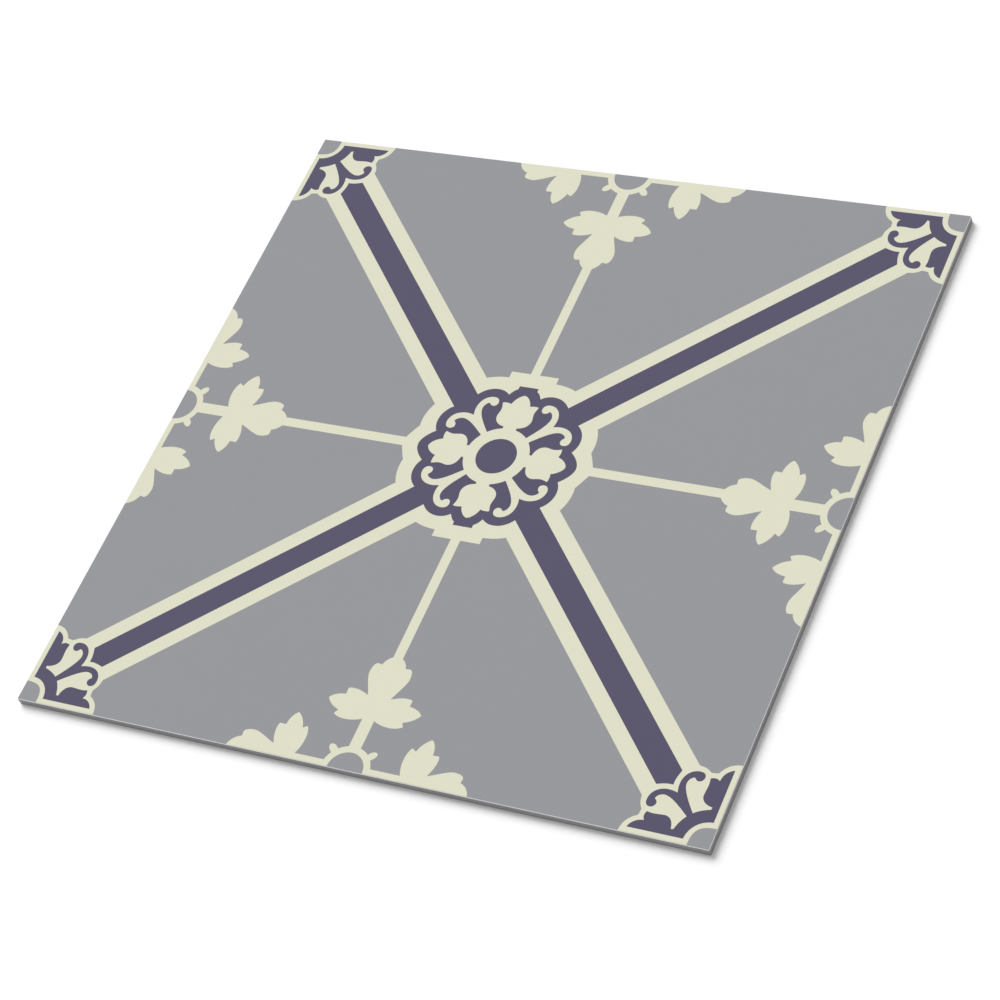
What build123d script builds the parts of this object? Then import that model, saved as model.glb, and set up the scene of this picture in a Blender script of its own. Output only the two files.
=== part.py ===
"""Square decorative wall panel of rigid PVC, lying on its back with the decorated face up.

Millimetres. The origin is the centre of the back face, X and Y run along the sides, and +Z points out of
the decorated face. The panel is one flat board: a square with corners just off sharp, a face with its
arris eased all round, and a back cut square, which is the side that is glued to a wall.
"""
from build123d import *

import os

SIDE = 300.0           # module of the wall grid: each panel butts against the next
THICKNESS = 3.5        # gauge of the board
CORNER_RADIUS = 0.5    # the four upright corners, as a cutter leaves them
ARRIS_RADIUS = 0.4     # eased edge between the decorated face and the four sides

PARTS_FOLDER = "parts"


def board(side, thickness, corner_radius):
    """The flat board, from the back face at Z = 0 up to the decorated face."""
    outline = RectangleRounded(side, side, corner_radius)
    return extrude(outline, amount=thickness)


def ease_face_arris(panel, arris_radius):
    """Rounds the closed run of edges round the decorated face, and leaves the back square."""
    face_arris = panel.faces().sort_by(Axis.Z)[-1].edges()
    return fillet(face_arris, radius=arris_radius)


def wall_panel():
    """The whole panel, one solid."""
    panel = board(SIDE, THICKNESS, CORNER_RADIUS)
    return ease_face_arris(panel, ARRIS_RADIUS)


os.makedirs(PARTS_FOLDER, exist_ok=True)
panel = wall_panel()
panel.label = "panel"
export_step(panel, os.path.join(PARTS_FOLDER, "panel.step"))

size = panel.bounding_box().size
print(f"panel: {size.X:.2f} x {size.Y:.2f} x {size.Z:.2f} mm, {panel.volume / 1000:.1f} cm3")
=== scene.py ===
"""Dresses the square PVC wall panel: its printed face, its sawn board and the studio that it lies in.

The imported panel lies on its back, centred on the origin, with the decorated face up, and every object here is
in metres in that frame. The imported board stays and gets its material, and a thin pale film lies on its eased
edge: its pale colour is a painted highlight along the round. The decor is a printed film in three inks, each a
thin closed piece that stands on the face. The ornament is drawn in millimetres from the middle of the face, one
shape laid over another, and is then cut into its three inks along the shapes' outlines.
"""

import logging
import math
from collections.abc import Callable, Iterable, Mapping
from dataclasses import dataclass, field
from enum import Enum
from typing import Self

import bpy
from mathutils import Matrix, Vector
from mathutils.geometry import delaunay_2d_cdt


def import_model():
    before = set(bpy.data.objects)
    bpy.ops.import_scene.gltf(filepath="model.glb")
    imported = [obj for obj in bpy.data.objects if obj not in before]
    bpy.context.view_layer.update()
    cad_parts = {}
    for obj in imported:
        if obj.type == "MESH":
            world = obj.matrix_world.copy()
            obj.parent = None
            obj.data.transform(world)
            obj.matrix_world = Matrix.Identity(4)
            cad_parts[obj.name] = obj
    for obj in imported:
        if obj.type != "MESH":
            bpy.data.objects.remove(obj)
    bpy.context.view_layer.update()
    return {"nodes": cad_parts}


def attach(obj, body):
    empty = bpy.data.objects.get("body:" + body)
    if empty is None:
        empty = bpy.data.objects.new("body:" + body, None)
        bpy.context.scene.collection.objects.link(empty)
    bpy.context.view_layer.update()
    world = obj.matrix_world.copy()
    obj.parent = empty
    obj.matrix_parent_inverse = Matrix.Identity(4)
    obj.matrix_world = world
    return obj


log = logging.getLogger("wall_panel")

MM = 0.001                       # millimetres to metres
SAME_LEVEL = 0.001 * MM          # how near to a level a vertex counts as on it
SAME_SPOT = 1e-4                 # how near two corners of an outline count as one, in millimetres
FEWEST_CHORDS = 2                # to a curve
LEAST_TURNING = 0.1              # a flatter curve's radius is worked out as if it turned this far, in radians
BODY = "root"
BOARD_NODE = "panel"
EXPORT_MAP = "OFBake"            # the name of a UV map that the export keeps
INSIDE_ONLY = 1                  # has the triangulation leave out what lies in no outline
MIX_FIRST, MIX_SECOND, MIX_RESULT = 6, 7, 2   # places of the colour sockets on a Mix node
NOISE_MIDDLE = 0.5               # what a noise varies about
NOISE_ROUGHNESS = 0.55           # how strong each finer layer of a noise is
DOT_SEED, RUB_SEED, FLECK_SEED, SANDER_SEED = 3.0, 7.0, 5.0, 11.0   # set the noises of one finish apart

Point = tuple[float, float]
Place = Callable[[float, float], Point]
Triangle = tuple[int, int, int]
Colour = tuple[float, float, float]

WHITE: Colour = (1.0, 1.0, 1.0)


class Ink(Enum):
    """The three inks of the decor. The value names both the piece and the record's material slot."""

    GREY = "print_grey"
    CREAM = "print_cream"
    PLUM = "print_plum"


# Outlines

@dataclass
class Outline:
    """A closed outline on the face, walked from its first point along straight runs, arcs and curls.

    Attributes:
        points: the corners so far, in millimetres from the middle of the face.
        slack: how far a chord may leave its curve, in millimetres.
    """

    points: list[Point]
    slack: float = 0.008

    def to(self, x: float, y: float) -> Self:
        """Walks straight to a point."""
        self.points.append((x, y))
        return self

    def chords(self, turning: float, radius: float) -> int:
        """Counts the chords that a curve needs.

        Args:
            turning: the angle that the curve turns through, in radians.
            radius: its radius, or about that, in millimetres.

        Returns:
            The number of chords that keeps the curve within the slack.
        """
        widest = 2 * math.acos(1 - min(self.slack / max(radius, self.slack), 1.0))
        return max(FEWEST_CHORDS, math.ceil(turning / widest))

    def bow(self, x: float, y: float, rise: float) -> Self:
        """Walks to a point along a circular arc.

        Args:
            x: where the arc ends.
            y: where the arc ends.
            rise: how far its middle stands to the left of the chord, or to the right if negative.

        Returns:
            The outline itself.
        """
        x0, y0 = self.points[-1]
        half = math.hypot(x - x0, y - y0) / 2
        sweep = 4 * math.atan2(abs(rise), half)
        radius = half / math.sin(sweep / 2)
        side = math.copysign(1.0, rise)
        back = side * radius * math.cos(sweep / 2) / (2 * half)
        centre_x = (x0 + x) / 2 - back * (y0 - y)
        centre_y = (y0 + y) / 2 - back * (x - x0)
        start = math.atan2(y0 - centre_y, x0 - centre_x)
        steps = self.chords(sweep, radius)
        for step in range(1, steps):
            angle = start - side * sweep * step / steps
            self.to(centre_x + radius * math.cos(angle), centre_y + radius * math.sin(angle))
        return self.to(x, y)

    def curl(self, x1: float, y1: float, x2: float, y2: float, x: float, y: float) -> Self:
        """Walks to a point along a cubic curve.

        Args:
            x1: the first handle, which the curve sets out towards.
            y1: the first handle.
            x2: the second handle, which the curve comes in from.
            y2: the second handle.
            x: where the curve ends.
            y: where the curve ends.

        Returns:
            The outline itself.
        """
        hull = [Vector(self.points[-1]), Vector((x1, y1)), Vector((x2, y2)), Vector((x, y))]
        legs = [after - before for before, after in zip(hull, hull[1:])]
        legs = [leg for leg in legs if leg.length > SAME_SPOT]
        turning = sum(a.angle(b) for a, b in zip(legs, legs[1:]))
        radius = sum(leg.length for leg in legs) / max(turning, LEAST_TURNING)
        steps = 2 * self.chords(turning, radius)
        for step in range(1, steps + 1):
            t = step / steps
            weights = ((1 - t) ** 3, 3 * t * (1 - t) ** 2, 3 * t * t * (1 - t), t ** 3)
            spot = sum((w * p for w, p in zip(weights, hull)), Vector((0.0, 0.0)))
            self.to(spot.x, spot.y)
        return self

    def placed(self, place: Place) -> "Outline":
        """Copies the outline to another place, by a turn, a shift or a mirror image."""
        return Outline([place(x, y) for x, y in self.points], self.slack)

    def joined(self, mirror: Place) -> "Outline":
        """Closes half an outline with its own mirror image, walked back."""
        return Outline(self.points + [mirror(x, y) for x, y in reversed(self.points)], self.slack)

    def signed_area(self) -> float:
        """Measures the area inside, which is negative for an outline walked clockwise."""
        ahead = self.points[1:] + self.points[:1]
        return sum(x0 * y1 - x1 * y0 for (x0, y0), (x1, y1) in zip(self.points, ahead)) / 2

    def loop(self) -> list[Point]:
        """Gives the corners counter-clockwise, without the ones that lie on the corner before."""
        before = self.points[-1:] + self.points[:-1]
        kept = [point for point, last in zip(self.points, before) if math.dist(point, last) > SAME_SPOT]
        return kept if self.signed_area() > 0 else kept[::-1]


@dataclass(frozen=True)
class Shape:
    """One shape of the ornament.

    Attributes:
        ink: what it is printed in.
        outline: its outline on the face.
    """

    ink: Ink
    outline: Outline


def walk(x: float, y: float) -> Outline:
    """Starts an outline at a point."""
    return Outline([(x, y)])


def strip(x0: float, y0: float, x1: float, y1: float) -> Outline:
    """Draws a rectangle from two opposite corners."""
    return walk(x0, y0).to(x1, y0).to(x1, y1).to(x0, y1)


def disc(x: float, y: float, radius: float) -> Outline:
    """Draws a full circle as two half turns."""
    return walk(x + radius, y).bow(x - radius, y, -radius).bow(x + radius, y, -radius)


def across_diagonal(x: float, y: float) -> Point:
    """Mirrors a point in the diagonal that runs to the corner at +X, +Y."""
    return y, x


def across_y(x: float, y: float) -> Point:
    """Mirrors a point in the Y axis."""
    return -x, y


def across_x(x: float, y: float) -> Point:
    """Mirrors a point in the X axis."""
    return x, -y


def quarter_turn(x: float, y: float) -> Point:
    """Turns a point a quarter of the way round the middle of the face."""
    return -y, x


def all_round(ink: Ink, *outlines: Outline) -> list[Shape]:
    """Lays outlines on the face four times, a quarter turn apart.

    Args:
        ink: the ink that they are printed in.
        outlines: what is repeated, in the order in which it is laid.

    Returns:
        The shapes, turn by turn.
    """
    shapes = []
    for _ in range(4):
        shapes += [Shape(ink, outline) for outline in outlines]
        outlines = tuple(outline.placed(quarter_turn) for outline in outlines)
    return shapes


def in_quarters(ink: Ink, outline: Outline) -> list[Shape]:
    """Lays an outline four times, mirrored in the X and Y axes."""
    pair = [outline, outline.placed(across_y)]
    return [Shape(ink, each) for each in pair + [one.placed(across_x) for one in pair]]


# The ornament, in millimetres

@dataclass(frozen=True)
class DiagonalBands:
    """The four bands that run out to the corners: a plum core between two cream margins.

    Attributes:
        margin_half_width: from the diagonal to the outside of a margin, in millimetres.
        margin_reach: how far out the margins end, along X and Y, where the corner fans cover them.
        core_half_width: from the diagonal to the side of the core.
        core_shoulder: how far out the sides of the core end, along X and Y.
        core_tip: where the bottom of the core's hollow end lies, along X and Y.
    """

    margin_half_width: float = 11.75
    margin_reach: float = 127.0
    core_half_width: float = 5.35
    core_shoulder: float = 124.6
    core_tip: float = 127.28

    def margins(self) -> list[Shape]:
        """Draws the cream under the cores, of which the margins stay in sight.

        Returns:
            The four bands of cream.
        """
        k = self.margin_half_width / math.sqrt(2)
        reach = self.margin_reach
        return all_round(Ink.CREAM, walk(-k, k).to(k, -k).to(reach + k, reach - k).to(reach - k, reach + k))

    def cores(self) -> list[Shape]:
        """Draws the plum cores, from the middle of the face to their hollow ends in the corners.

        Returns:
            The four cores.
        """
        k = self.core_half_width / math.sqrt(2)
        shoulder, tip = self.core_shoulder, self.core_tip
        half = (walk(0, 0).to(-k, k).to(shoulder - k, shoulder + k)
                .curl(122.2, 128.0, 124.5, 127.0, tip, tip))
        return all_round(Ink.PLUM, half.joined(across_diagonal))


@dataclass(frozen=True)
class Stems:
    """The four straight stems between the medallion and the middles of the sides.

    Attributes:
        half_width: of the long thin stem, in millimetres.
        start: where it starts, under the medallion's rim.
        end: where it ends, under the leaves.
        collar_half_width: of the thicker length between the leaves and the ring.
        collar_start: where that starts, under the leaves.
        collar_end: where that ends, under the ring.
    """

    half_width: float = 2.1
    start: float = 20.0
    end: float = 100.0
    collar_half_width: float = 2.6
    collar_start: float = 122.0
    collar_end: float = 141.0

    def shapes(self) -> list[Shape]:
        """Draws the stems and the short thicker lengths beyond their leaves.

        Returns:
            A stem and a collar on each side.
        """
        stem = strip(-self.half_width, self.start, self.half_width, self.end)
        collar = strip(-self.collar_half_width, self.collar_start, self.collar_half_width, self.collar_end)
        return all_round(Ink.CREAM, stem, collar)


@dataclass(frozen=True)
class SideRosettes:
    """The ring at the middle of each side, with its three clusters of leaves and its two buds.

    The leaves and buds are drawn from the middle of the side: first the distance along their own stem, and
    then the distance to one side of it.

    Attributes:
        side: from the middle of the face to its side, in millimetres.
        ring_centre: from the middle of the face to the middle of the ring.
        ring_radius: of the ring outside.
        hollow_radius: of the grey inside the ring.
        edge_stem_length: of the two stems along the side, as far as their leaves.
        edge_stem_half_width: of those stems, of which the outer half is cut off by the side.
    """

    side: float = 150.0
    ring_centre: float = 149.65
    ring_radius: float = 10.35
    hollow_radius: float = 7.6
    edge_stem_length: float = 23.0
    edge_stem_half_width: float = 2.75

    def leaves(self) -> Outline:
        """Draws one cluster: two side leaves with three points each, and the long middle leaf.

        Returns:
            Its outline, with the stem along X.
        """
        half = (walk(22.9, 0).to(22.9, 2.7)
                .curl(21.0, 6.5, 20.7, 12.5, 22.9, 15.1)
                .to(24.7, 14.0)
                .curl(25.5, 16.7, 27.1, 19.0, 29.15, 20.15)
                .curl(30.9, 19.0, 31.8, 16.6, 32.0, 13.95)
                .to(34.7, 14.0)
                .curl(35.3, 13.0, 35.6, 9.5, 33.3, 5.0)
                .curl(36.6, 6.1, 40.4, 8.6, 43.2, 8.85)
                .curl(45.3, 8.85, 46.7, 8.5, 47.6, 7.6)
                .curl(47.9, 7.0, 47.7, 6.2, 47.55, 5.15)
                .curl(49.6, 4.6, 51.6, 3.0, 52.4, 0))
        return half.joined(across_x)

    def bud(self) -> Outline:
        """Draws the small round bud that stands off the ring.

        Returns:
            Its outline, on one side of the stem.
        """
        return (walk(6.0, 8.0).to(6.5, 8.5)
                .curl(7.2, 9.2, 7.9, 10.1, 9.0, 10.1)
                .curl(9.8, 10.1, 10.4, 10.0, 10.4, 9.0)
                .curl(10.4, 8.2, 9.6, 7.2, 8.6, 6.4).to(8.0, 6.0))

    def shapes(self) -> list[Shape]:
        """Draws the whole of the four rosettes.

        Returns:
            Their cream shapes and then the grey hollows in the rings.
        """
        def inward(along: float, aside: float) -> Point:
            """Points a stem from the side to the middle of the face."""
            return aside, self.side - along

        def rightward(along: float, aside: float) -> Point:
            """Points a stem along the side, to the right."""
            return along, self.side - aside

        edge_stem = strip(0, 0, self.edge_stem_length, self.edge_stem_half_width)
        along_side = [piece.placed(rightward) for piece in (self.leaves(), edge_stem, self.bud())]
        cream = [self.leaves().placed(inward), *along_side]
        cream += [outline.placed(across_y) for outline in along_side]
        cream.append(disc(0, self.ring_centre, self.ring_radius))
        hollow = disc(0, self.ring_centre, self.hollow_radius)
        return all_round(Ink.CREAM, *cream) + all_round(Ink.GREY, hollow)


@dataclass(frozen=True)
class Medallion:
    """The rosette in the middle: a cream rim, a lobed plum ground, four leaves, four scrolls and an eye.

    Attributes:
        ring_radius: of the cream ring round the eye, in millimetres.
        eye_radius: of the plum eye.
    """

    ring_radius: float = 13.87
    eye_radius: float = 8.6

    def rim(self) -> list[Shape]:
        """Draws the cream rim, which has square tabs on two sides and rounded lobes on the others.

        Returns:
            The rim's four quarters.
        """
        quarter = (walk(0, 0).to(0, 41.7).to(10.65, 41.7).to(10.65, 38.6)
                   .bow(20.0, 36.75, 0.45).to(20, 20).to(36.85, 20.0)
                   .bow(38.6, 8.7, 0.9)
                   .bow(42.0, 2.1, 0.1).to(42.1, 0))
        return in_quarters(Ink.CREAM, quarter)

    def ground(self) -> list[Shape]:
        """Draws the plum ground inside the rim.

        Returns:
            The ground's four quarters.
        """
        quarter = (walk(0, 0).to(0, 35.1).to(4.25, 35.1).to(4.3, 33.5)
                   .curl(5.6, 32.9, 6.3, 31.6, 7.15, 30.2)
                   .curl(9.5, 32.7, 16.2, 33.7, 20.45, 28.05).to(20, 20).to(28.05, 20.45)
                   .bow(30.5, 7.4, 2.75)
                   .curl(32.9, 5.6, 35.4, 2.9, 35.45, 0))
        return in_quarters(Ink.PLUM, quarter)

    def leaf(self) -> Outline:
        """Draws the three-pointed leaf that stands on the ring.

        Returns:
            Its outline, pointing to +Y.
        """
        half = (walk(0, 13.0).to(2.95, 13.3).to(2.95, 14.6)
                .curl(5.5, 14.9, 7.8, 16.4, 7.85, 19.2)
                .curl(7.8, 20.4, 7.4, 21.2, 7.35, 22.5)
                .curl(7.3, 23.7, 7.8, 24.9, 8.1, 26.05)
                .bow(4.2, 25.9, -0.3)
                .curl(3.8, 27.6, 2.2, 30.4, 0, 30.8))
        return half.joined(across_y)

    def scrolls(self) -> Outline:
        """Draws the pair of scrolls that part from the ring on a diagonal.

        Returns:
            Their outline, towards +X, +Y.
        """
        half = (walk(8.0, 10.0).to(9.1, 11.0)
                .curl(11.5, 14.0, 15.7, 18.6, 15.6, 21.9)
                .curl(15.5, 23.3, 14.7, 24.4, 14.0, 24.75)
                .curl(13.6, 24.95, 13.4, 24.8, 13.2, 24.5)
                .curl(12.85, 24.05, 12.2, 23.7, 11.5, 23.7)
                .curl(10.5, 23.7, 9.87, 24.6, 9.87, 25.6)
                .curl(9.87, 27.0, 10.9, 28.0, 12.6, 28.0)
                .curl(15.6, 28.0, 18.4, 25.6, 18.4, 21.0)
                .curl(18.4, 20.0, 18.15, 18.8, 17.9, 17.9))
        return half.joined(across_diagonal)

    def rosette(self) -> list[Shape]:
        """Draws what lies on the ground: the ring, the leaves, the scrolls and the eye.

        Returns:
            The shapes from the lowest to the topmost.
        """
        ring = Shape(Ink.CREAM, disc(0, 0, self.ring_radius))
        eye = Shape(Ink.PLUM, disc(0, 0, self.eye_radius))
        return [ring, *all_round(Ink.CREAM, self.leaf(), self.scrolls()), eye]


@dataclass(frozen=True)
class CornerFans:
    """The quarter rosette in each corner, mirrored in its diagonal.

    Attributes:
        corner: from the middle of the face to the corner, along X and Y, in millimetres.
        ring_reach: how far in the ring round the very corner starts.
        ring_corner: where the ring's curve ends, near the side.
        ring_rise: how far that curve bulges to the middle of the face.
        quarter_disc: how far in the grey quarter disc starts.
        quarter_handle: the handle of its curve.
    """

    corner: float = 150.0
    ring_reach: float = 138.95
    ring_corner: float = 147.6
    ring_rise: float = 2.45
    quarter_disc: float = 141.1
    quarter_handle: float = 143.1

    def rims(self) -> list[Shape]:
        """Draws the cream ground of the fan.

        Returns:
            The four grounds.
        """
        corner = self.corner
        half = (walk(corner, corner).to(113.95, corner)
                .curl(114.1, 146.1, 116.0, 143.6, 118.9, 142.2)
                .curl(119.35, 141.3, 119.15, 140.5, 119.4, 139.45)
                .curl(118.0, 137.6, 117.5, 136.2, 117.45, 134.1).to(125, 125))
        return all_round(Ink.CREAM, half.joined(across_diagonal))

    def leaves(self) -> Outline:
        """Draws the plum leaves, which leave a cream tulip and two hooks between them.

        Returns:
            Their outline in the corner at +X, +Y.
        """
        half = (walk(147.65, 147.65).to(116.6, 147.65)
                .curl(117.3, 145.6, 118.9, 143.8, 121.95, 143.65)
                .to(121.8, 143.3)
                .curl(121.05, 142.4, 121.05, 141.0, 121.75, 139.85)
                .curl(124.6, 140.6, 126.4, 139.95, 128.7, 139.93)
                .curl(131.4, 139.87, 132.75, 142.4, 133.05, 144.9)
                .to(134.05, 144.7)
                .curl(134.6, 142.4, 135.6, 140.3, 136.9, 138.65)
                .curl(133.2, 135.7, 128.3, 131.93, 125.7, 131.93)
                .curl(124.2, 131.93, 123.1, 132.75, 122.75, 133.7)
                .curl(122.6, 134.1, 122.65, 134.25, 122.95, 134.45)
                .curl(123.55, 134.8, 123.87, 135.4, 123.87, 136.1)
                .bow(119.82, 136.0, -1.8)
                .curl(119.35, 132.5, 121.8, 129.4, 126.3, 129.4)
                .curl(127.5, 129.4, 128.8, 129.65, 130.0, 130.0))
        return half.joined(across_diagonal)

    def shapes(self) -> list[Shape]:
        """Draws the leaves, the ring round the very corner and the grey quarter disc inside it.

        Returns:
            The shapes of all four corners, from the lowest to the topmost.
        """
        corner, reach, bend = self.corner, self.ring_reach, self.ring_corner
        ring = (walk(corner, corner).to(reach, corner).to(reach, bend)
                .bow(bend, reach, -self.ring_rise).to(corner, reach))
        start, handle = self.quarter_disc, self.quarter_handle
        quarter = walk(corner, corner).to(start, corner).curl(start, handle, handle, start, corner, start)
        return (all_round(Ink.PLUM, self.leaves()) + all_round(Ink.CREAM, ring)
                + all_round(Ink.GREY, quarter))


@dataclass(frozen=True)
class Ornament:
    """The whole decor of the face.

    Attributes:
        ground_side: of the grey ground, in millimetres, a little more than the film's.
        bands: the bands to the corners.
        stems: the stems to the sides.
        sides: the rosettes at the sides.
        medallion: the rosette in the middle.
        corners: the fans in the corners.
    """

    ground_side: float = 300.0
    bands: DiagonalBands = DiagonalBands()
    stems: Stems = Stems()
    sides: SideRosettes = SideRosettes()
    medallion: Medallion = Medallion()
    corners: CornerFans = CornerFans()

    def shapes(self) -> list[Shape]:
        """Draws the whole decor.

        Returns:
            Every shape in the order in which it is laid, each one over those before it.
        """
        half = self.ground_side / 2
        return [
            Shape(Ink.GREY, strip(-half, -half, half, half)),
            *self.bands.margins(),
            *self.stems.shapes(),
            *self.sides.shapes(),
            *self.medallion.rim(),
            *self.corners.rims(),
            *self.bands.cores(),
            *self.medallion.ground(),
            *self.medallion.rosette(),
            *self.corners.shapes(),
        ]


# Shader maths

@dataclass(frozen=True)
class Signal:
    """A value, colour or vector that leaves a node, and the maths that can be done with a value.

    Attributes:
        bench: the bench that made the node.
        socket: the socket that the signal leaves by.
    """

    bench: "Bench"
    socket: bpy.types.NodeSocket

    def __add__(self, other: "Signal | float") -> "Signal":
        """Adds two values."""
        return self.bench.maths("ADD", self, other)

    def __sub__(self, other: "Signal | float") -> "Signal":
        """Takes a value from this one."""
        return self.bench.maths("SUBTRACT", self, other)

    def __rsub__(self, other: float) -> "Signal":
        """Takes this value from a number."""
        return self.bench.maths("SUBTRACT", other, self)

    def __mul__(self, other: "Signal | float") -> "Signal":
        """Multiplies two values."""
        return self.bench.maths("MULTIPLY", self, other)

    __radd__ = __add__
    __rmul__ = __mul__


@dataclass(frozen=True)
class Bench:
    """Builds one node tree.

    Attributes:
        tree: the material's or the world's tree.
    """

    tree: bpy.types.NodeTree

    def node(self, kind: str, settings: Mapping[str, object] | None = None,
             sockets: Mapping[str | int, object] | None = None) -> bpy.types.Node:
        """Makes a node, which is how every node is made.

        Args:
            kind: the node's type.
            settings: its own settings, such as an operation, which are set before its sockets.
            sockets: by name or place, a value to set or a signal to link.

        Returns:
            The node.
        """
        node = self.tree.nodes.new(kind)
        for name, setting in (settings or {}).items():
            setattr(node, name, setting)
        for key, value in (sockets or {}).items():
            if isinstance(value, Signal):
                self.tree.links.new(value.socket, node.inputs[key])
            else:
                node.inputs[key].default_value = value
        return node

    def add(self, kind: str, settings: Mapping[str, object] | None = None,
            sockets: Mapping[str | int, object] | None = None, output: str | int = 0) -> Signal:
        """Makes a node and gives what leaves it by one of its sockets, the first unless another is named."""
        return Signal(self, self.node(kind, settings, sockets).outputs[output])

    def maths(self, operation: str, first: Signal | float, second: Signal | float) -> Signal:
        """Makes a Math node that works on two values."""
        return self.add("ShaderNodeMath", {"operation": operation}, {0: first, 1: second})

    def position(self) -> Signal:
        """Gives the place on the object, in metres in the part's frame."""
        return self.add("ShaderNodeTexCoord", output="Object")

    def stretched(self, place: Signal, scale: tuple[float, float, float]) -> Signal:
        """Scales a place along each axis, so that a noise on it is drawn out along the smallest scale."""
        return self.add("ShaderNodeVectorMath", {"operation": "MULTIPLY"}, {0: place, 1: scale})

    def noise(self, place: Signal, scale: float = 1.0, detail: float = 2.0, seed: float = 0.0) -> Signal:
        """Gives a soft noise about 0.5.

        Args:
            place: where on the object.
            scale: lumps to the metre, or 1 where the place is scaled already.
            detail: how many finer layers lie on the noise.
            seed: moves the noise, so that two noises on one place don't match.

        Returns:
            The noise, nearly all of it between 0.25 and 0.75.
        """
        moved = self.add("ShaderNodeVectorMath", {"operation": "ADD"}, {0: place, 1: (seed, seed, seed)})
        return self.add("ShaderNodeTexNoise", {"noise_dimensions": "3D"},
                        {"Vector": moved, "Scale": scale, "Detail": detail, "Roughness": NOISE_ROUGHNESS})

    def rise(self, value: Signal, low: float, high: float) -> Signal:
        """Rises smoothly from 0, where the value is low or less, to 1, where it is high or more."""
        return self.add("ShaderNodeMapRange", {"interpolation_type": "SMOOTHSTEP"},
                        {"Value": value, "From Min": low, "From Max": high})

    def blend(self, factor: Signal, first: Signal | Colour, second: Signal | Colour) -> Signal:
        """Mixes two colours.

        Args:
            factor: the share of the second colour, from 0 to 1.
            first: the colour at 0.
            second: the colour at 1.

        Returns:
            The mixed colour.
        """
        ends = (end if isinstance(end, Signal) else opaque(end) for end in (first, second))
        sockets = {0: factor, **dict(zip((MIX_FIRST, MIX_SECOND), ends))}
        return self.add("ShaderNodeMix", {"data_type": "RGBA"}, sockets, MIX_RESULT)

    def bump(self, height: Signal, depth: float) -> Signal:
        """Turns a height from 0 to 1 into a bump that is so many metres deep."""
        return self.add("ShaderNodeBump", None, {"Distance": depth, "Height": height})

    def mix_shaders(self, factor: Signal, first: Signal, second: Signal) -> Signal:
        """Mixes two shaders, from all the first at 0 to all the second at 1."""
        return self.add("ShaderNodeMixShader", None, {0: factor, 1: first, 2: second})

    def finish(self, shader: Signal, output: str = "ShaderNodeOutputMaterial") -> None:
        """Joins the last shader to the tree's output."""
        self.node(output, None, {"Surface": shader})


def new_material(name: str) -> tuple[bpy.types.Material, Bench]:
    """Makes an empty material.

    Args:
        name: the material's name.

    Returns:
        The material and the bench that fills it.
    """
    material = bpy.data.materials.new(name)
    material.use_nodes = True
    material.node_tree.nodes.clear()
    return material, Bench(material.node_tree)


def shaded(colour: Colour, gain: float) -> Colour:
    """Makes a colour lighter or darker by a factor."""
    return tuple(min(1.0, part * gain) for part in colour)


def opaque(colour: Colour) -> tuple[float, float, float, float]:
    """Gives a colour the fourth number that a socket asks for."""
    return (*colour, 1.0)


def in_scene(name: str, data: bpy.types.ID) -> bpy.types.Object:
    """Puts a mesh, a lamp or a camera into the scene.

    Args:
        name: the object's name.
        data: what it shows.

    Returns:
        The object.
    """
    thing = bpy.data.objects.new(name, data)
    bpy.context.scene.collection.objects.link(thing)
    return thing


def direction(azimuth: float, elevation: float) -> Vector:
    """Points from the panel to a lamp or the camera.

    Args:
        azimuth: in degrees from +X towards +Y.
        elevation: in degrees over the floor.

    Returns:
        The direction, one long.
    """
    turn, rise = math.radians(azimuth), math.radians(elevation)
    return Vector((math.cos(turn) * math.cos(rise), math.sin(turn) * math.cos(rise), math.sin(rise)))


# Finishes

@dataclass(frozen=True)
class InkFinish:
    """A satin ink on a lightly pebbled PVC film.

    Attributes:
        colour: the ink's colour, linear.
        mottle: how much the lay of the ink varies from patch to patch, as a share of the colour.
        grain: how much the fine dots of the print vary, as a share of the colour.
        roughness: of the satin lacquer.
        rub: how much the roughness varies from place to place, where hands have rubbed it.
        dulling: how much the roughness varies from pebble to pebble.
        gloss: the lacquer's specular level.
        pebble_depth: of the film's fine pebble, in metres.
        patch_scale: patches to the metre.
        dot_scale: dots to the metre.
        pebble_scale: pebbles to the metre.
        rub_scale: duller and shinier places to the metre.
        seed: sets this ink's patches and dots apart from the others'.
    """

    colour: Colour
    mottle: float = 0.01
    grain: float = 0.09
    roughness: float = 0.5
    rub: float = 0.16
    dulling: float = 0.1
    gloss: float = 0.3
    pebble_depth: float = 0.02 * MM
    patch_scale: float = 160.0
    dot_scale: float = 5200.0
    pebble_scale: float = 2400.0
    rub_scale: float = 40.0
    seed: float = 0.0

    def material(self, name: str) -> bpy.types.Material:
        """Builds the ink's material.

        Args:
            name: the material's name.

        Returns:
            The material.
        """
        material, bench = new_material(name)
        place = bench.position()
        patches = bench.noise(place, self.patch_scale, detail=3.0, seed=self.seed)
        dots = bench.noise(place, self.dot_scale, detail=1.0, seed=self.seed + DOT_SEED)
        pebbles = bench.noise(place, self.pebble_scale)
        wear = bench.noise(place, self.rub_scale, detail=4.0, seed=self.seed + RUB_SEED)
        spread = self.mottle + self.grain
        lay = patches * (self.mottle / spread) + dots * (self.grain / spread)
        rubbing = (wear - NOISE_MIDDLE) * self.rub
        bench.finish(bench.add("ShaderNodeBsdfPrincipled", None, {
            "Base Color": bench.blend(lay, shaded(self.colour, 1 - spread), shaded(self.colour, 1 + spread)),
            "Roughness": self.roughness + rubbing + (pebbles - NOISE_MIDDLE) * self.dulling,
            "Specular IOR Level": self.gloss,
            "Normal": bench.bump(pebbles, self.pebble_depth),
        }))
        return material


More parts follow.
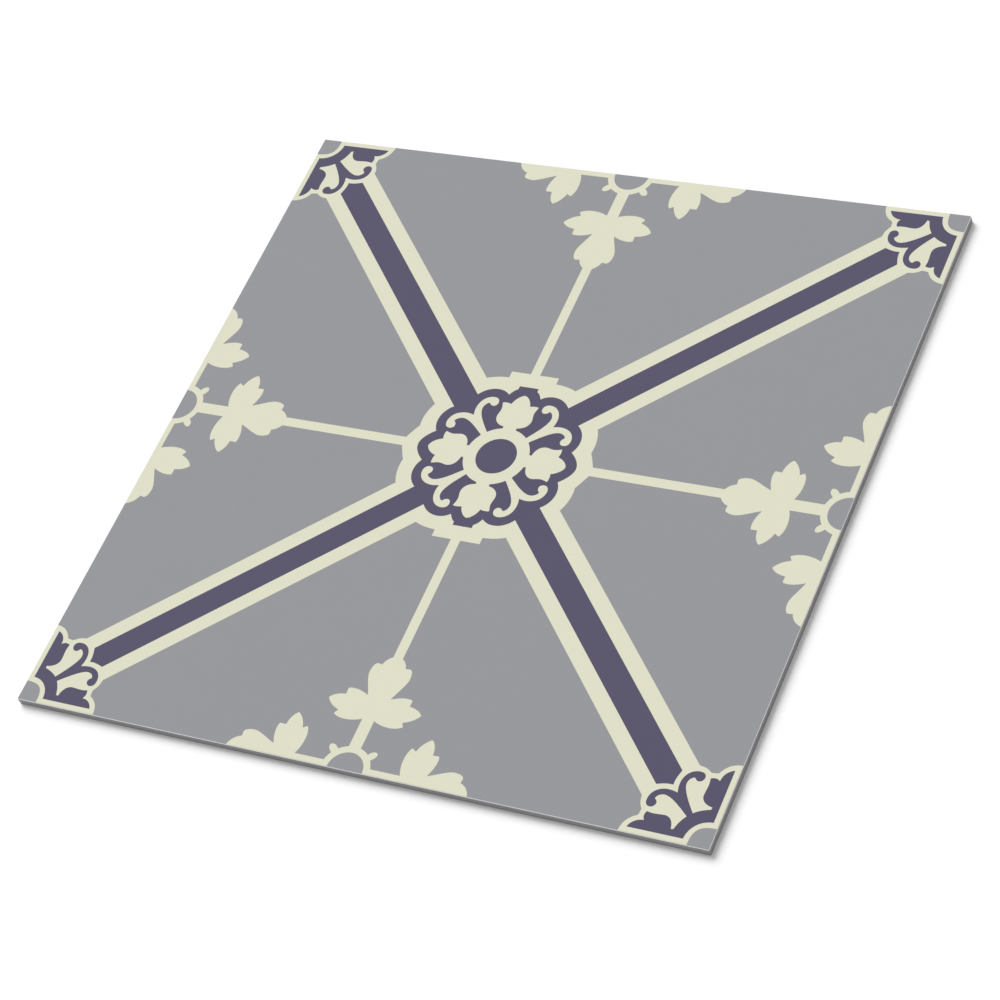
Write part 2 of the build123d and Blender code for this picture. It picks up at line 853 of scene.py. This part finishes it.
@dataclass(frozen=True)
class BoardFinish:
    """Rigid grey PVC with sawn sides and a lightly sanded back.

    Attributes:
        colour: of the board, linear.
        contrast: how much the board varies, as a share of its colour.
        cloud_share: how much of that comes from clouds in the PVC, where the rest comes from marks.
        fleck_start: where a fleck starts on its noise.
        fleck_full: where it has its full colour.
        fleck_gain: how bright a pale fleck is, against the board's colour.
        fleck_cover: how much of a fleck's own colour shows, from 0 to 1.
        cloud_scale: clouds to the metre.
        fleck_scale: places to the metre where there may be a fleck.
        back_end: how high the back's marks reach unbroken, in metres.
        side_start: from what height the sides have theirs alone, in metres.
        saw_marks: marks of the saw to the metre along X, Y and Z.
        sander_marks: marks of the sander to the metre along X, Y and Z.
        mark_depth: of the saw's and the sander's marks, in metres.
        roughness: of the board.
        cloud_dulling: how much the roughness varies from cloud to cloud.
        mark_dulling: how much it varies from mark to mark.
    """

    colour: Colour = (0.26, 0.26, 0.265)
    contrast: float = 0.3
    cloud_share: float = 0.4
    fleck_start: float = 0.62
    fleck_full: float = 0.72
    fleck_gain: float = 1.5
    fleck_cover: float = 0.25
    cloud_scale: float = 60.0
    fleck_scale: float = 1700.0
    back_end: float = 0.02 * MM
    side_start: float = 0.06 * MM
    saw_marks: tuple[float, float, float] = (90.0, 90.0, 5200.0)
    sander_marks: tuple[float, float, float] = (14.0, 900.0, 900.0)
    mark_depth: float = 0.05 * MM
    roughness: float = 0.56
    cloud_dulling: float = 0.12
    mark_dulling: float = 0.16

    def material(self, name: str) -> bpy.types.Material:
        """Builds the board's material.

        Args:
            name: the material's name.

        Returns:
            The material.
        """
        material, bench = new_material(name)
        place = bench.position()
        height = bench.add("ShaderNodeSeparateXYZ", None, {0: place}, "Z")
        back = 1 - bench.rise(height, self.back_end, self.side_start)
        clouds = bench.noise(place, self.cloud_scale, detail=4.0)
        specks = bench.noise(place, self.fleck_scale, detail=1.0, seed=FLECK_SEED)
        flecks = bench.rise(specks, self.fleck_start, self.fleck_full)
        sawing = bench.noise(bench.stretched(place, self.saw_marks))
        sanding = bench.noise(bench.stretched(place, self.sander_marks), detail=4.0, seed=SANDER_SEED)
        marks = sawing * (1 - back) + sanding * back
        tone = clouds * self.cloud_share + marks * (1 - self.cloud_share)
        dark, light = (shaded(self.colour, 1 + way * self.contrast) for way in (-1, 1))
        body = bench.blend(tone, dark, light)
        dulling = (clouds - NOISE_MIDDLE) * self.cloud_dulling + (marks - NOISE_MIDDLE) * self.mark_dulling
        bench.finish(bench.add("ShaderNodeBsdfPrincipled", None, {
            "Base Color": bench.blend(flecks * self.fleck_cover, body, shaded(self.colour, self.fleck_gain)),
            "Roughness": self.roughness + dulling,
            "Normal": bench.bump(marks, self.mark_depth),
        }))
        return material


@dataclass(frozen=True)
class EdgeHighlightFinish:
    """A painted highlight: a pale, satin colour laid on the eased edge for the line of light along its round.

    Attributes:
        colour: of the painted highlight, linear.
        roughness: of the edge.
    """

    colour: Colour = (0.92, 0.92, 0.92)
    roughness: float = 0.46

    def material(self, name: str) -> bpy.types.Material:
        """Builds the edge's material, with the painted highlight as its colour.

        Args:
            name: the material's name.

        Returns:
            The material.
        """
        material, bench = new_material(name)
        bench.finish(bench.add("ShaderNodeBsdfPrincipled", None, {
            # the pale colour is a painted highlight along the eased edge
            "Base Color": opaque(self.colour),
            "Roughness": self.roughness,
        }))
        return material


@dataclass(frozen=True)
class FloorFinish:
    """The studio's plain white floor, matt, which keeps the panel's shadow and is clear from below.

    Attributes:
        colour: of the floor, linear.
        lift: what the camera alone sees on top of it, so that the light's grain stays out of the white.
    """

    colour: Colour = WHITE
    lift: float = 0.02

    def material(self, name: str) -> bpy.types.Material:
        """Builds the floor's material.

        Args:
            name: the material's name.

        Returns:
            The material.
        """
        material, bench = new_material(name)
        colour = opaque(self.colour)
        matt = bench.add("ShaderNodeBsdfDiffuse", None, {"Color": colour})
        glow = bench.add("ShaderNodeEmission", None, {"Color": colour, "Strength": self.lift})
        lifted = bench.add("ShaderNodeAddShader", None, {0: matt, 1: glow})
        seen = bench.add("ShaderNodeLightPath", output="Is Camera Ray")
        below = bench.add("ShaderNodeNewGeometry", output="Backfacing")
        clear = bench.add("ShaderNodeBsdfTransparent")
        bench.finish(bench.mix_shaders(below, bench.mix_shaders(seen, matt, lifted), clear))
        return material


# The panel

@dataclass(frozen=True)
class Board:
    """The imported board, which keeps its shape and gets its material.

    Attributes:
        node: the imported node's object.
    """

    node: bpy.types.Object

    def face_height(self) -> float:
        """Reads the height of the face above the back, in metres."""
        return max(vertex.co.z for vertex in self.node.data.vertices)

    def footprint(self) -> list[Point]:
        """Reads the outline of the back, counter-clockwise, in metres."""
        spots = {(vertex.co.x, vertex.co.y) for vertex in self.node.data.vertices if vertex.co.z < SAME_LEVEL}
        return sorted(spots, key=lambda spot: math.atan2(spot[1], spot[0]))

    def flat_half(self) -> float:
        """Reads how far the flat of the face reaches from its middle along X, in metres."""
        level = self.face_height() - SAME_LEVEL
        return max(vertex.co.x for vertex in self.node.data.vertices if vertex.co.z > level)

    def half(self) -> float:
        """Reads how far the sides stand from the middle, in metres."""
        return max(x for x, _ in self.footprint())

    def corner_radius(self) -> float:
        """Reads the radius of the upright corners, in metres."""
        half = self.half()
        return half - max(y for x, y in self.footprint() if x > half - SAME_LEVEL)

    def dress(self) -> bpy.types.Object:
        """Gives each slot of the board its material.

        Returns:
            The board's object.
        """
        material = BoardFinish().material("pvc_board")
        for slot in self.node.material_slots:
            slot.material = material
        return self.node


@dataclass
class InkMesh:
    """The mesh of one ink's film, with its vertices doubled on two levels.

    Attributes:
        foot: height of the film's underside, in metres.
        top: height of its printed surface, in metres.
        map_side: the side of the square that the UV map covers, in millimetres.
        tuck: how far the map of a cut edge reaches in under the film, in millimetres.
        corners: the vertices, in metres.
        faces: each face's vertices.
        spots: for each corner of each face, where it lies on the map, in millimetres from the middle.
    """

    foot: float
    top: float
    map_side: float = 306.0
    tuck: float = 0.6
    corners: list[tuple[float, float, float]] = field(default_factory=list)
    faces: list[tuple[int, ...]] = field(default_factory=list)
    spots: list[Point] = field(default_factory=list)

    def add_face(self, corners: tuple[int, ...], spots: Iterable[Point]) -> None:
        """Adds a face, with where each of its corners lies on the face of the panel."""
        self.faces.append(corners)
        self.spots += spots

    def grow(self, flat: list[Point], triangles: list[Triangle]) -> None:
        """Raises triangles into a closed film.

        Args:
            flat: every corner of the cut, in millimetres.
            triangles: this ink's share of the cut, counter-clockwise.
        """
        used = sorted({corner for triangle in triangles for corner in triangle})
        low = {corner: 2 * place for place, corner in enumerate(used)}
        for corner in used:
            x, y = flat[corner][0] * MM, flat[corner][1] * MM
            self.corners += [(x, y, self.foot), (x, y, self.top)]
        edges = {edge for a, b, c in triangles for edge in ((a, b), (b, c), (c, a))}
        for a, b, c in triangles:
            self.add_face((low[a] + 1, low[b] + 1, low[c] + 1), (flat[a], flat[b], flat[c]))
            self.add_face((low[c], low[b], low[a]), (flat[c], flat[b], flat[a]))
        for a, b in sorted(edges):
            if (b, a) not in edges:
                (x0, y0), (x1, y1) = flat[a], flat[b]
                inward = self.tuck / math.dist(flat[a], flat[b])
                shift_x, shift_y = (y0 - y1) * inward, (x1 - x0) * inward
                under = ((x0 + shift_x, y0 + shift_y), (x1 + shift_x, y1 + shift_y))
                self.add_face((low[a], low[b], low[b] + 1, low[a] + 1), (*under, flat[b], flat[a]))

    def build(self, name: str) -> bpy.types.Object:
        """Makes the object, with a map for the export that is laid out as the film is seen from above.

        Args:
            name: the object's name.

        Returns:
            The object.
        """
        mesh = bpy.data.meshes.new(name)
        mesh.from_pydata(self.corners, [], self.faces)
        layout = mesh.uv_layers.new(name=EXPORT_MAP)
        for corner, (x, y) in zip(layout.uv, self.spots, strict=True):
            corner.vector = (0.5 + x / self.map_side, 0.5 + y / self.map_side)
        return in_scene(name, mesh)


@dataclass(frozen=True)
class PrintedFace:
    """The printed film, cut into one piece for each ink.

    Attributes:
        flat_half: how far the flat of the face reaches from its middle, in metres.
        face_height: where the film lies, in metres.
        ornament: what is printed on it.
        lap: how far the film reaches out over the eased edge, in metres.
        thickness: how far the film stands above the face, in metres.
        sunk: how far it is pressed into the face, in metres.
        corner_radius: of the film's corners, in millimetres.
        weld: how near two corners of the cut are made one, in millimetres.
        finishes: the finish of each ink.
    """

    flat_half: float
    face_height: float
    ornament: Ornament = Ornament()
    lap: float = 0.12 * MM
    thickness: float = 0.08 * MM
    sunk: float = 0.02 * MM
    corner_radius: float = 0.2
    weld: float = 1e-5
    finishes: Mapping[Ink, InkFinish] = field(default_factory=lambda: {
        Ink.GREY: InkFinish((0.296, 0.302, 0.321), seed=1.0),
        Ink.CREAM: InkFinish((0.74, 0.73, 0.573), mottle=0.008, grain=0.06, seed=2.0),
        Ink.PLUM: InkFinish((0.086, 0.078, 0.134), mottle=0.015, grain=0.12, seed=3.0),
    })

    def blank(self) -> Outline:
        """Draws the film before it is cut: a square with its corners just rounded.

        Returns:
            Its outline.
        """
        half, radius = (self.flat_half + self.lap) / MM, self.corner_radius
        rise = radius * (1 - math.sqrt(0.5))
        outline = walk(half - radius, -half).bow(half, radius - half, -rise)
        outline.to(half, half - radius).bow(half - radius, half, -rise)
        outline.to(radius - half, half).bow(-half, half - radius, -rise)
        return outline.to(-half, radius - half).bow(radius - half, -half, -rise)

    def cut(self) -> tuple[list[Point], dict[Ink, list[Triangle]]]:
        """Cuts the film along every outline and gives each piece the ink that lies on top there.

        Returns:
            The corners of the cut in millimetres, and for each ink its triangles.
        """
        shapes = self.ornament.shapes()
        corners: list[Vector] = []
        loops: list[list[int]] = []
        for outline in (self.blank(), *(shape.outline for shape in shapes)):
            loop = outline.loop()
            loops.append(list(range(len(corners), len(corners) + len(loop))))
            corners += [Vector(point) for point in loop]
        flat, _, triangles, _, _, covers = delaunay_2d_cdt(corners, [], loops, INSIDE_ONLY, self.weld, True)
        share: dict[Ink, list[Triangle]] = {ink: [] for ink in Ink}
        for triangle, covering in zip(triangles, covers):
            if 0 in covering:
                share[shapes[max(covering) - 1].ink].append(tuple(triangle))
        return [(spot.x, spot.y) for spot in flat], share

    def build(self) -> list[bpy.types.Object]:
        """Builds and dresses the film of each ink.

        Returns:
            The films' objects.
        """
        flat, share = self.cut()
        films = []
        for ink, triangles in share.items():
            shell = InkMesh(self.face_height - self.sunk, self.face_height + self.thickness)
            shell.grow(flat, triangles)
            film = shell.build(ink.value)
            film.data.materials.append(self.finishes[ink].material(ink.value))
            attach(film, BODY)
            films.append(film)
        return films


@dataclass(frozen=True)
class EasedEdgeHighlight:
    """The painted highlight round the face: a thin closed film in a pale colour, bent over the board's eased
    edge.

    Attributes:
        half: how far the sides stand from the middle, in metres.
        flat_half: how far the flat of the face reaches from its middle, in metres.
        corner_radius: of the board's upright corners, in metres.
        face_height: height of the face above the back, in metres.
        name: of the piece.
        slot: the record's material slot of its finish.
        thickness: how far the film stands off the eased edge, in metres.
        sunk: how far it is pressed into the board, in metres.
        foot: where it starts over the side, in degrees round the eased edge.
        head: where it ends under the print, in degrees round the eased edge.
        chords: how many flats make up its round.
        corner_chords: how many flats make up its turn round a corner.
        sharp: from what angle on an edge of the film is sharp, in degrees.
        finish: its finish, the pale colour of the painted highlight.
    """

    half: float
    flat_half: float
    corner_radius: float
    face_height: float
    name: str = "eased_edge_highlight"
    slot: str = "pvc_edge"
    thickness: float = 0.01 * MM
    sunk: float = 0.05 * MM
    foot: float = 18.0
    head: float = 80.0
    chords: int = 8
    corner_chords: int = 8
    sharp: float = 40.0
    finish: EdgeHighlightFinish = EdgeHighlightFinish()

    def radius(self) -> float:
        """Works out the radius of the eased edge, in metres."""
        return self.half - self.flat_half

    def profile(self) -> list[Point]:
        """Draws the film across: how far each corner stands out from and over the middle of the round.

        Returns:
            The corners, up the outside and back down the inside, in metres.
        """
        turns = [math.radians(self.foot + (self.head - self.foot) * step / self.chords)
                 for step in range(self.chords + 1)]
        outside, inside = self.radius() + self.thickness, self.radius() - self.sunk
        return ([(outside * math.cos(turn), outside * math.sin(turn)) for turn in turns]
                + [(inside * math.cos(turn), inside * math.sin(turn)) for turn in reversed(turns)])

    def ribs(self) -> list[list[tuple[float, float, float]]]:
        """Stands the profile round the panel, several times in each corner.

        Returns:
            The corners of each rib, counter-clockwise round the panel, in metres.
        """
        middle, level = self.half - self.corner_radius, self.face_height - self.radius()
        profile = [(self.corner_radius - self.radius() + out, level + up) for out, up in self.profile()]
        ribs = []
        for corner, (side_x, side_y) in enumerate(((1, 1), (-1, 1), (-1, -1), (1, -1))):
            for step in range(self.corner_chords + 1):
                angle = math.pi / 2 * (corner + step / self.corner_chords)
                out_x, out_y = math.cos(angle), math.sin(angle)
                ribs.append([(side_x * middle + reach * out_x, side_y * middle + reach * out_y, height)
                             for reach, height in profile])
        return ribs

    def build(self) -> bpy.types.Object:
        """Builds and dresses the film.

        Returns:
            Its object.
        """
        ribs = self.ribs()
        size = len(ribs[0])
        faces = []
        for rib in range(len(ribs)):
            here, ahead = rib * size, (rib + 1) % len(ribs) * size
            for low in range(size):
                high = (low + 1) % size
                faces.append((here + low, ahead + low, ahead + high, here + high))
        mesh = bpy.data.meshes.new(self.name)
        mesh.from_pydata([corner for rib in ribs for corner in rib], [], faces)
        mesh.shade_smooth()
        mesh.set_sharp_from_angle(angle=math.radians(self.sharp))
        # the pale finish paints the highlight along the eased edge
        mesh.materials.append(self.finish.material(self.slot))
        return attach(in_scene(self.name, mesh), BODY)


# The studio

@dataclass(frozen=True)
class Studio:
    """The plain floor, soft daylight from the back left, and the camera.

    Attributes:
        footprint: the outline of the panel's back, in metres. The floor is open there, so that light
            reaches the back in a view from below.
        sun_azimuth: where the sun stands, in degrees from +X towards +Y.
        sun_elevation: how high it stands, in degrees.
        sun_spread: how wide it is, in degrees, which softens the shadow.
        sun_strength: its strength, in watts per square metre.
        sky: the light from all round, where 1 is white.
        floor_side: of the square floor, in metres.
        weld: how near two corners of the floor are made one, in metres.
        camera_at: the camera's place, in metres.
        camera_azimuth: from the aim to the camera, in degrees from +X towards +Y.
        camera_elevation: of the camera over the aim, in degrees.
        camera_roll: turns the picture, in degrees.
        lens: the camera's lens, in millimetres on the sensor below.
        sensor: the width of the picture on the sensor, in millimetres.
    """

    footprint: list[Point]
    sun_azimuth: float = 141.5
    sun_elevation: float = 43.5
    sun_spread: float = 40.0
    sun_strength: float = 2.693
    sky: float = 0.41
    floor_side: float = 8.0
    weld: float = 1e-7
    camera_at: tuple[float, float, float] = (0.5763, -0.6301, 0.9596)
    camera_azimuth: float = -47.149
    camera_elevation: float = 48.962
    camera_roll: float = -25.232
    lens: float = 116.40
    sensor: float = 36.0

    def lay_floor(self) -> None:
        """Lays the floor round the panel, with the opening that the panel covers."""
        half = self.floor_side / 2
        rim = [(-half, -half), (half, -half), (half, half), (-half, half)]
        loops = [list(range(4)), list(range(4, 4 + len(self.footprint)))]
        spots = [Vector(spot) for spot in rim + self.footprint]
        flat, _, triangles, _, _, covers = delaunay_2d_cdt(spots, [], loops, INSIDE_ONLY, self.weld, True)
        kept = [triangle for triangle, covering in zip(triangles, covers) if covering == [0]]
        mesh = bpy.data.meshes.new("floor")
        mesh.from_pydata([(spot.x, spot.y, 0.0) for spot in flat], [], kept)
        mesh.materials.append(FloorFinish().material("studio_floor"))
        in_scene("floor", mesh)

    def hang_sun(self) -> None:
        """Hangs the sun."""
        lamp = bpy.data.lights.new("sun", "SUN")
        lamp.energy = self.sun_strength
        lamp.angle = math.radians(self.sun_spread)
        sun = in_scene("sun", lamp)
        sun.rotation_mode = "QUATERNION"
        sun.rotation_quaternion = direction(self.sun_azimuth, self.sun_elevation).to_track_quat("Z", "Y")
        sun.visible_glossy = False   # a soft box this wide would lay a grey veil over the satin face

    def light_sky(self) -> None:
        """Makes the world: white where it is seen or mirrored, and softer as a light."""
        world = bpy.data.worlds.new("studio")
        world.use_nodes = True
        world.node_tree.nodes.clear()
        bench = Bench(world.node_tree)
        camera, glossy, through = (bench.add("ShaderNodeLightPath", output=ray)
                                   for ray in ("Is Camera Ray", "Is Glossy Ray", "Is Transmission Ray"))
        seen = 1 - (1 - camera) * (1 - glossy) * (1 - through)
        light, white = (bench.add("ShaderNodeBackground", None, {"Color": opaque(WHITE), "Strength": level})
                        for level in (self.sky, 1.0))
        bench.finish(bench.mix_shaders(seen, light, white), "ShaderNodeOutputWorld")
        bpy.context.scene.world = world

    def set_camera(self) -> None:
        """Stands the camera where the square face and its ornament fall as they do in the photograph."""
        roll = math.radians(self.camera_roll)
        back = direction(self.camera_azimuth, self.camera_elevation)
        level = Vector((0.0, 0.0, 1.0)).cross(back).normalized()
        upright = back.cross(level)
        right = level * math.cos(roll) + upright * math.sin(roll)
        up = back.cross(right)
        lens = bpy.data.cameras.new("camera")
        lens.lens, lens.sensor_width = self.lens, self.sensor
        camera = in_scene("camera", lens)
        turn = Matrix((right, up, back)).transposed().to_4x4()
        camera.matrix_world = Matrix.Translation(self.camera_at) @ turn
        bpy.context.scene.camera = camera

    def build(self) -> None:
        """Sets up the whole studio."""
        self.lay_floor()
        self.hang_sun()
        self.light_sky()
        self.set_camera()
        bpy.context.scene.view_settings.view_transform = "Standard"


def main() -> None:
    """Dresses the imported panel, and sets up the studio."""
    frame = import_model()
    board = Board(frame["nodes"][BOARD_NODE])
    flat_half, face_height = board.flat_half(), board.face_height()
    # the eased edge's pale film is a painted highlight
    edge = EasedEdgeHighlight(board.half(), flat_half, board.corner_radius(), face_height)
    for piece in (board.dress(), edge.build(), *PrintedFace(flat_half, face_height).build()):
        log.info("%s: %d faces, in %s", piece.name, len(piece.data.polygons), piece.active_material.name)
    Studio(board.footprint()).build()
    bpy.context.view_layer.update()


if __name__ == "__main__":
    logging.basicConfig(level=logging.INFO, format="%(name)s: %(message)s")
    main()
